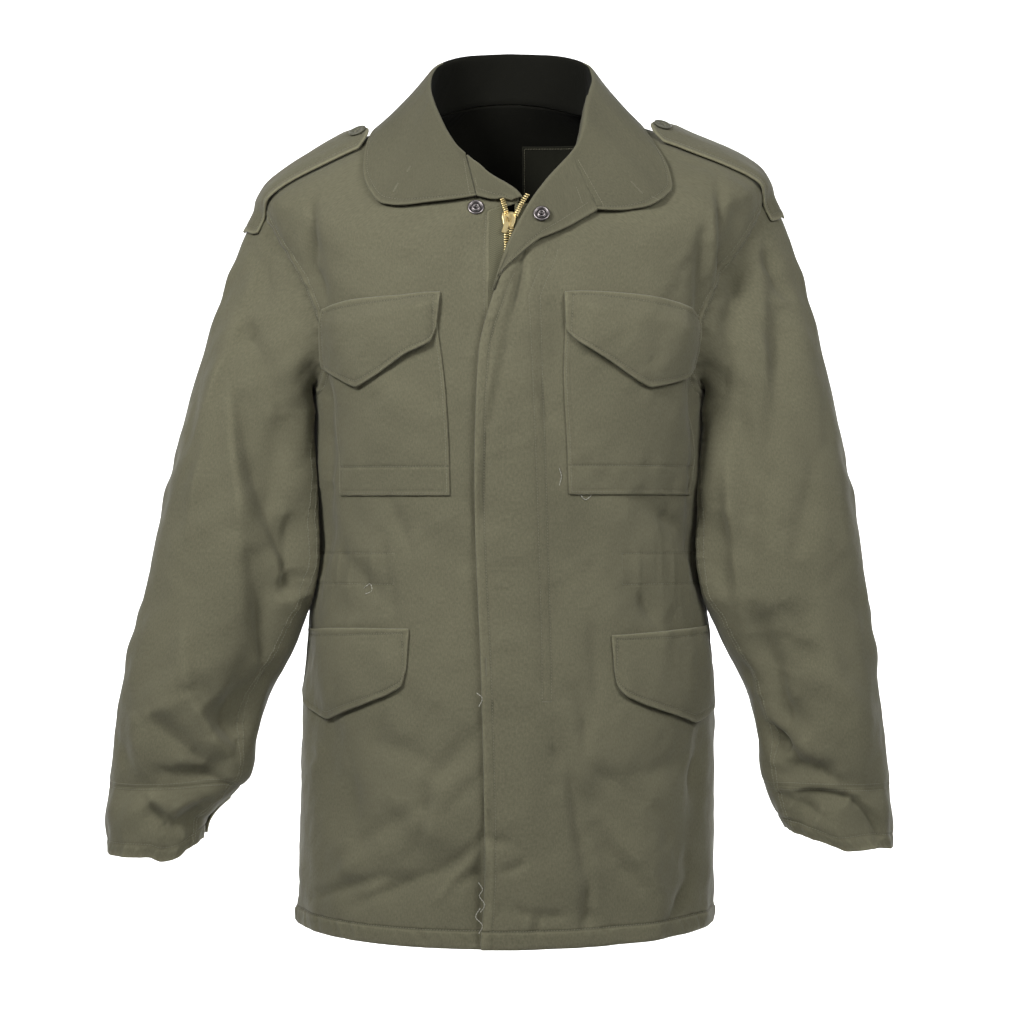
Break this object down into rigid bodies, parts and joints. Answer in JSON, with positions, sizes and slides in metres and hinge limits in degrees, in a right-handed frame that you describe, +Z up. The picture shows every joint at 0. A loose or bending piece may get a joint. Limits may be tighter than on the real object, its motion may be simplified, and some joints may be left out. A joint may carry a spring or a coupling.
{
  "type": "field jacket",
  "caption": "Hip-length cotton field jacket with turned-down collar, fly-covered zip, flapped patch and hip pockets, shoulder loops and cuff tabs, filled out as if worn.",
  "frame": {"origin": "middle of the neck base, level with the tops of the shoulders, where the wearer's shoulders and neck hold the jacket", "axes": "+Z up, -Y the garment's front, +X the wearer's left"},
  "size_m": [0.7198, 0.2944, 0.8216],
  "materials": {
    "shell": "olive drab cotton sateen, washed",
    "tape": "herringbone zip tape",
    "patch": "plain woven patch, bare",
    "brass": "pale brass",
    "gunmetal": "darkened snap metal",
    "button": "dull olive, four holes"
  },
  "bodies": {
    "jacket": {"back": "shell", "front_right": "shell", "front_left": "shell", "sleeve_right": "shell", "sleeve_left": "shell", "cuff_right": "shell", "cuff_left": "shell", "cuff_tab_right": "shell", "cuff_tab_left": "shell", "collar": "shell", "lapel_right": "shell", "lapel_left": "shell", "chest_pocket_right": "shell", "chest_pocket_left": "shell", "chest_flap_right": "shell", "chest_flap_left": "shell", "hip_flap_right": "shell", "hip_flap_left": "shell", "shoulder_loop_right": "shell", "shoulder_loop_left": "shell", "shoulder_button_right": "button", "shoulder_button_left": "button", "zip_tape_right": "tape", "zip_tape_left": "tape", "zip_slider": "brass", "snap_right": "gunmetal", "snap_left": "gunmetal", "neck_patch": "patch"},
    "zip_pull": {"zip_pull": "brass"}
  },
  "joints": [
    {"name": "zip_pull_swing", "type": "hinge", "parent": "jacket", "child": "zip_pull", "pos_m": [0.00101, -0.11047, -0.09246], "axis": [-0.9613, 0.1123, 0.2517], "range_deg": [0, 110]}
  ]
}
